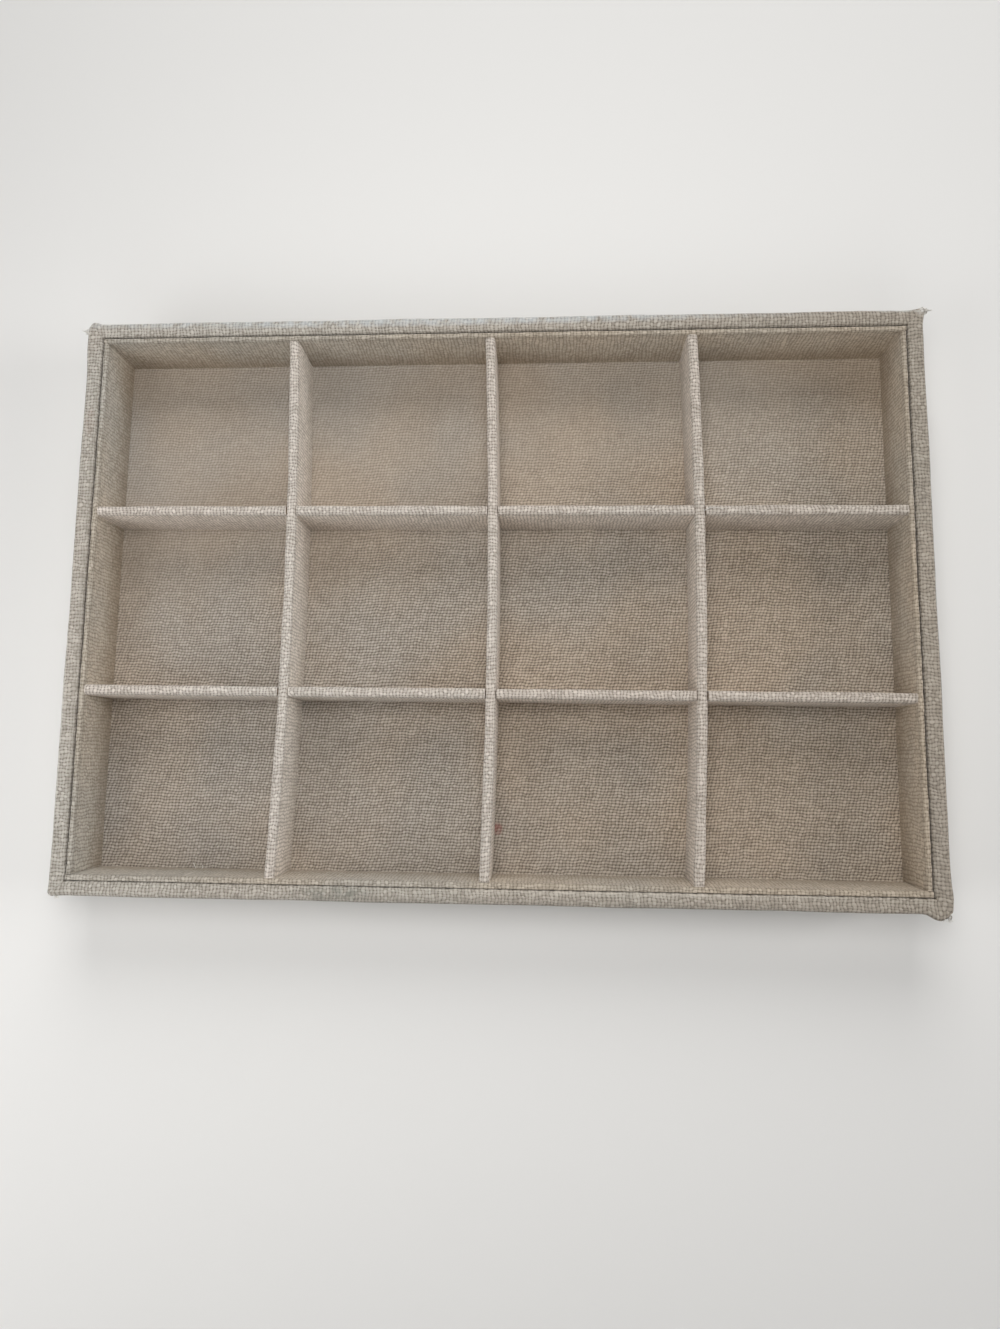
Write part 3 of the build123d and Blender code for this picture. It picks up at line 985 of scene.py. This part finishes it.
def strands_piece(name, starts, headings, curls, lengths, thickness):
    """Loose strands, each a thin tube along start + heading s L + curl s^2 L for s from nought to one.

    A ring of six points goes round the path at ten places, on two sides square to it, and thins to half its
    size at the tip. Both ends are closed.
    """
    places, around, twist = 10, 6, 0.6
    s = np.linspace(0, 1, places)[None, :, None]
    starts, headings, curls = (np.array(values, float)[:, None, :] for values in (starts, headings, curls))
    lengths = np.array(lengths, float)[:, None, None]
    path = starts + (headings * s + curls * s * s) * lengths
    travel = headings + 2 * curls * s
    travel /= np.linalg.norm(travel, axis=-1, keepdims=True)
    side = np.cross(travel, [0.31, 0.17, 0.93])
    side /= np.linalg.norm(side, axis=-1, keepdims=True)
    other = np.cross(travel, side)
    turn = np.linspace(0, 2 * np.pi, around, endpoint=False)[None, None, :, None]
    radius = thickness / 2 * (1 - 0.5 * s[..., None])
    ring = side[:, :, None] * np.cos(turn) + other[:, :, None] * np.sin(turn)
    points = (path[:, :, None] + radius * ring) * MM
    index = np.arange(points[..., 0].size).reshape(-1, places, around)
    ahead = np.roll(index, -1, axis=2)
    quads = stacked(index[:, :-1], ahead[:, :-1], ahead[:, 1:], index[:, 1:]).reshape(-1, 4)
    first, last = index[:, 0], index[:, -1]
    ends = [first[:, [3, 2, 1, 0]], first[:, [5, 4, 3, 0]], last[:, [0, 1, 2, 3]], last[:, [0, 3, 4, 5]]]
    threads = stacked(np.arange(around) / around, s * lengths / twist)
    return mesh_object(name, points.reshape(-1, 3), np.concatenate([quads, *ends]), threads.reshape(-1, 2))


def frayed(name, centre, heading, count, reach, spread, thickness, seed):
    """A tuft of frayed ends: count strands from near centre, round heading, of lengths about reach."""
    random = np.random.default_rng(seed)
    starts = np.array(centre) + random.uniform(-0.5, 0.5, (count, 3))
    headings = np.array(heading) + random.uniform(-spread, spread, (count, 3))
    curls = random.uniform(-0.5, 0.5, (count, 3))
    return strands_piece(name, starts, headings, curls, reach * random.uniform(0.6, 1.2, count), thickness)


# Middle and half sizes of each fold in millimetres, its droop in millimetres and its heading in degrees
FOLDS = {
    "back_right_fold": ((175.5, 120.1, 30.4), (2.5, 1.8), 1.8, 14),
    "front_right_fold": ((174.4, -120.9, 30.0), (0.75, 1.8), 1.5, 6),
}

# Place of each tuft in millimetres, its heading, its number of strands, their length and how far they spread
FRAYS = {
    "back_left_fray": ((-175.1, 116.0, 29.3), (-0.8, 0.66, 0.1), 26, 2.3, 0.12),
    "back_right_fray": ((176.2, 120.0, 29.5), (0.9, 0.3, 0.1), 12, 1.5, 0.6),
    "front_right_fray": ((171.8, -121.6, 29.0), (0.1, -0.9, -0.2), 12, 1.3, 0.6),
    "front_right_tips": ((174.3, -122.0, 28.8), (0.1, -0.9, -0.2), 7, 1.3, 0.4),
    "front_left_fray": ((-171.9, -120.2, 28.9), (-0.1, -0.9, 0.0), 9, 1.2, 0.5),
    "front_left_tips": ((-174.7, -119.4, 28.8), (-0.5, -0.5, 0.1), 8, 1.0, 0.5),
}
FRAYED_THREAD, STRAY_THREAD = 0.42, 0.32


# Stage, in metres and degrees

BACKDROP = (0.74, 0.74, 0.73)
SKY = (1.0, 0.985, 0.965)
BLACK = (0.0, 0.0, 0.0)
# The floor: half its side, how far it lies below the tray, and the distances between which it fades away
FLOOR_HALF, FLOOR_DROP, FLOOR_FADE = 3.0, 0.02 * MM, (0.45, 1.2)
LENS = 22.605
CAMERA_PLACE = (0.022556, -0.066698, 0.360089)
CAMERA_TURN = (6.8938, 3.1243, 0.7017)
# Place and width of each lamp
LAMPS = {
    "back": ((0.0, 1.1, 0.75), 0.8),
    "right": ((1.2, 0.0, 0.5), 0.6),
    "top": ((0.0, 0.02, 0.42), 0.2),
    "front": ((0.0, -1.1, 0.75), 0.8),
    "near": ((-0.45, -0.22, 0.35), 0.4),
}


# Operators


def settings(context):
    return context.scene.linen_tray_cloth, context.scene.linen_tray_shape, context.scene.linen_tray_stage


class TRAY_OT_stage(bpy.types.Operator):
    """Floor, soft lamps and the camera"""

    bl_idname = "linen_tray.stage"
    bl_label = "Stage"

    def execute(self, context):
        scene, stage = context.scene, settings(context)[2]
        scene.view_settings.view_transform = "Standard"
        self.floor(scene, stage)
        self.sky(scene, stage)
        self.lamps(scene, stage)
        self.camera(scene)
        return {"FINISHED"}

    def floor(self, scene, stage):
        """A plain floor that keeps shadows. The camera sees it fade into the backdrop far from the tray."""
        floor = bpy.data.objects.new("floor", bpy.data.meshes.new("floor"))
        signs = (-1, 1), (-1, -1), (1, -1), (1, 1)
        corners = [(x * FLOOR_HALF, y * FLOOR_HALF, -FLOOR_DROP) for x, y in signs]
        floor.data.from_pydata(corners, [], [(0, 1, 2, 3)])
        scene.collection.objects.link(floor)
        finish = Finish("plain_floor", roughness=0.9, specular_ior_level=0.1, emission_strength=1.0)
        radius = finish.vector_maths("LENGTH", finish.place(), output="Value")
        far = radius.between(*FLOOR_FADE) * finish.node("ShaderNodeLightPath", output="Is Camera Ray")
        seen, glow = finish.mix(far, tuple(stage.floor), BLACK), finish.mix(far, BLACK, BACKDROP)
        floor.data.materials.append(finish.feed(base_color=seen, emission_color=glow))

    def sky(self, scene, stage):
        """A world that sheds a little light, and that the camera sees as the backdrop."""
        scene.world = bpy.data.worlds.new("soft_sky")
        scene.world.use_nodes = True
        nodes, links = scene.world.node_tree.nodes, scene.world.node_tree.links
        seen, shed = nodes["Background"], nodes.new("ShaderNodeBackground")
        for shader, shade, strength in ((seen, BACKDROP, 1.0), (shed, SKY, stage.sky)):
            shader.inputs["Color"].default_value = (*shade, 1.0)
            shader.inputs["Strength"].default_value = strength
        path, choose = nodes.new("ShaderNodeLightPath"), nodes.new("ShaderNodeMixShader")
        links.new(path.outputs["Is Camera Ray"], choose.inputs[0])
        links.new(shed.outputs[0], choose.inputs[1])
        links.new(seen.outputs[0], choose.inputs[2])
        links.new(choose.outputs[0], nodes["World Output"].inputs["Surface"])

    def lamps(self, scene, stage):
        """Round soft lamps that face the tray."""
        for name, (place, wide) in LAMPS.items():
            lamp = bpy.data.lights.new(f"{name}_lamp", "AREA")
            lamp.shape, lamp.size, lamp.energy = "DISK", wide, getattr(stage, f"{name}_power")
            lamp = bpy.data.objects.new(f"{name}_lamp", lamp)
            scene.collection.objects.link(lamp)
            lamp.location = place
            lamp.rotation_euler = (-Vector(place)).to_track_quat("-Z", "Y").to_euler()
            lamp.visible_camera = False

    def camera(self, scene):
        """The camera, at the photograph's angle."""
        camera = bpy.data.objects.new("camera", bpy.data.cameras.new("camera"))
        scene.collection.objects.link(camera)
        camera.data.sensor_width, camera.data.lens = 36.0, LENS
        camera.data.clip_start, camera.data.clip_end = 0.01, 20
        camera.location = CAMERA_PLACE
        camera.rotation_euler = [math.radians(angle) for angle in CAMERA_TURN]
        scene.camera = camera


class TRAY_OT_wraps(bpy.types.Operator):
    """Linen round the four walls, mitred at the corners"""

    bl_idname = "linen_tray.wraps"
    bl_label = "Wall linen"

    def execute(self, context):
        cloth, shape, _ = settings(context)
        finish = linen_finish("wrap_linen", cloth, WRAP_STAINS_AND_LIGHT)
        for seed, side in enumerate(QUARTER_TURNS):
            dress(wrap_piece(side, cloth, shape, seed * 7), finish, "wrap_linen", f"{side}_wall_wrap")
        return {"FINISHED"}


class TRAY_OT_liners(bpy.types.Operator):
    """Linen round the four thin liners inside the walls"""

    bl_idname = "linen_tray.liners"
    bl_label = "Liner linen"

    def execute(self, context):
        cloth, shape, _ = settings(context)
        finish = linen_finish("liner_linen", cloth)
        for seed, side in enumerate(QUARTER_TURNS):
            piece = liner_piece(side, cloth, shape, 100 + seed * 7)
            dress(piece, finish, "liner_linen", f"{side}_liner_linen")
        return {"FINISHED"}


class TRAY_OT_floor_cloth(bpy.types.Operator):
    """One linen cloth over the whole floor, its crosswise threads leaning"""

    bl_idname = "linen_tray.floor_cloth"
    bl_label = "Floor linen"

    def execute(self, context):
        cloth = settings(context)[0]
        piece = self.cover(cloth)
        dress(piece, linen_finish("floor_linen", cloth, FLOOR_MARKS), "floor_linen", "floor_linen")
        return {"FINISHED"}

    def cover(self, cloth):
        """The cloth over its card, a grid in x and y whose last rows go down the card's edges.

        Its top sinks and swells by some 0.05 mm. Its thread counts are 0.70 x - 0.16 y and 0.815 y to the
        millimetre, with a slow drift, so that the crosswise threads lean by 13 degrees.
        """
        reach, top, foot = high("floor_linen"), FLOOR_TOP, low("floor_linen")[2]
        edge = np.array([0.0, 0.03, 0.35, 0.9]) * MM
        drop = np.array([foot - top, -0.7 * MM, -0.12 * MM, 0.0])
        x, y = (places_across(half, edge, 2 * MM, 1.6 * MM) for half in reach[:2])
        sunk = [np.concatenate([drop, np.zeros(len(line) - 8), drop[::-1]]) for line in (x, y)]
        z = top + np.minimum(*np.meshgrid(*sunk))
        x, y = np.meshgrid(x, y[::-1])
        z = z + 0.05 * MM * (drift(x, 3, 60 * MM) * drift(y, 4, 50 * MM) - 1.6) * (z > top - 0.01 * MM)
        a = 0.70 * x / MM - (0.16 + 0.006 * drift(x, 8, 200 * MM)) * y / MM + 0.20 * drift(y, 9, 80 * MM)
        b = 0.815 * y / MM + 0.35 * drift(x, 10, 140 * MM) + 0.15 * drift(y, 11, 60 * MM)
        grid = stacked(x, y, z), uneven(a + 500, b + 500, 12, 0.13)
        cut = 2 * (reach[1::-1] + (top - foot))
        return sheet_piece("floor_cover", *grid, cloth.thickness, cut, "stretched", ["floor_card"])


class TRAY_OT_dividers(bpy.types.Operator):
    """Five linen-covered dividers, halved into each other"""

    bl_idname = "linen_tray.dividers"
    bl_label = "Dividers"

    def execute(self, context):
        cloth, shape, _ = settings(context)
        finish, board = linen_finish("divider_linen", cloth), fibreboard_finish()
        for kind, count in (("cross", 3), ("long", 2)):
            for number in range(count):
                node = f"{kind}_divider_%s_{number + 1}"
                core = divider_core(kind, number, shape)
                dress(core, board, "fibreboard", node % "board")
                dress(divider_cover(kind, number, cloth, shape), finish, "divider_linen", node % "linen")
        return {"FINISHED"}


class TRAY_OT_felt(bpy.types.Operator):
    """Felt on the underside, over the turned-under linen"""

    bl_idname = "linen_tray.felt"
    bl_label = "Felt"

    def execute(self, context):
        reach = high("underside_felt")
        edge = np.array([0.0, 0.4, 1.2, 6.0, 13.0, 14.0, 14.5, 15.0, 15.6]) * MM
        x, y = np.meshgrid(*(places_across(half, edge, 22 * MM, 10 * MM) for half in reach[:2]))
        inside = np.minimum(reach[0] - np.abs(x), reach[1] - np.abs(y))
        raised, rolled = ease((inside - 13.6 * MM) / (1.6 * MM)), 1 - ease(inside / (0.5 * MM))
        z = 0.6 * MM * raised + 0.12 * MM * rolled
        grid, cut = (stacked(x, y, z), (x * 100, y * 100)), 2 * reach[1::-1]
        piece = sheet_piece("underside_cover", *grid, 0.95 * MM, cut, "laid", ["base_board"])
        dress(piece, felt_finish(), "felt", "underside_felt")
        return {"FINISHED"}


class TRAY_OT_frayed_ends(bpy.types.Operator):
    """Folds and frayed ends at the corners, and pulled strands"""

    bl_idname = "linen_tray.frayed_ends"
    bl_label = "Frayed ends"

    def execute(self, context):
        cloth = settings(context)[0]
        linen, yarn = linen_finish("fold_linen", cloth), yarn_finish(cloth)
        for name, sizes in FOLDS.items():
            dress(fold_piece(name, *sizes, cloth), linen, "wrap_linen")
        for number, (name, sizes) in enumerate(FRAYS.items()):
            dress(frayed(name, *sizes, FRAYED_THREAD, 20 + number), yarn, "wrap_linen")
        strays = strands_piece(
            "stray_strands",
            [(-126.0, -109.4, 7.4), (-121.9, -110.3, 7.5), (85.9, 36.3, 29.15)],
            [(0.6, -0.75, 0.25), (0.5, -0.6, 0.9), (0.85, 0.55, 0.1)],
            [(0.1, -0.1, 0.4), (-0.5, -0.2, -0.3), (0.15, -0.5, -0.05)],
            [4.6, 2.4, 7.5],
            STRAY_THREAD,
        )
        dress(strays, yarn, "floor_linen")
        return {"FINISHED"}


class TRAY_OT_boards(bpy.types.Operator):
    """Raw board and card under the linen"""

    bl_idname = "linen_tray.boards"
    bl_label = "Boards and cards"

    def execute(self, context):
        finishes = {"board": fibreboard_finish(), "card": greyboard_finish()}
        for name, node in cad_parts.items():
            for word, finish in finishes.items():
                if name.endswith(word):
                    node.data.materials.clear()
                    node.data.materials.append(finish)
        for node in LEANING:
            word, slot = ("board", "fibreboard") if node.endswith("board") else ("card", "greyboard")
            dress(leaning_core(node), finishes[word], slot, node)
        return {"FINISHED"}


class TRAY_PT_panel(bpy.types.Panel):
    """Sizes, colours and the steps that build the tray"""

    bl_idname = "TRAY_PT_panel"
    bl_label = "Linen jewelry tray"
    bl_space_type = "VIEW_3D"
    bl_region_type = "UI"
    bl_category = "Tray"

    def draw(self, context):
        for group in settings(context):
            box = self.layout.box()
            for name in group.__annotations__:
                box.prop(group, name)
        for operator in OPERATORS:
            self.layout.operator(operator.bl_idname)


GROUPS = {
    "linen_tray_cloth": LinenTrayCloth,
    "linen_tray_shape": LinenTrayShape,
    "linen_tray_stage": LinenTrayStage,
}
OPERATORS = (
    TRAY_OT_stage,
    TRAY_OT_wraps,
    TRAY_OT_liners,
    TRAY_OT_floor_cloth,
    TRAY_OT_dividers,
    TRAY_OT_felt,
    TRAY_OT_frayed_ends,
    TRAY_OT_boards,
)


def register():
    for group in (*GROUPS.values(), *OPERATORS, TRAY_PT_panel):
        bpy.utils.register_class(group)
    for name, group in GROUPS.items():
        setattr(bpy.types.Scene, name, PointerProperty(type=group))


def unregister():
    for name in GROUPS:
        delattr(bpy.types.Scene, name)
    for group in reversed((*GROUPS.values(), *OPERATORS, TRAY_PT_panel)):
        bpy.utils.unregister_class(group)


def main():
    register()
    for operator in OPERATORS:
        getattr(bpy.ops.linen_tray, operator.bl_idname.split(".")[1])()


if __name__ == "__main__":
    main()
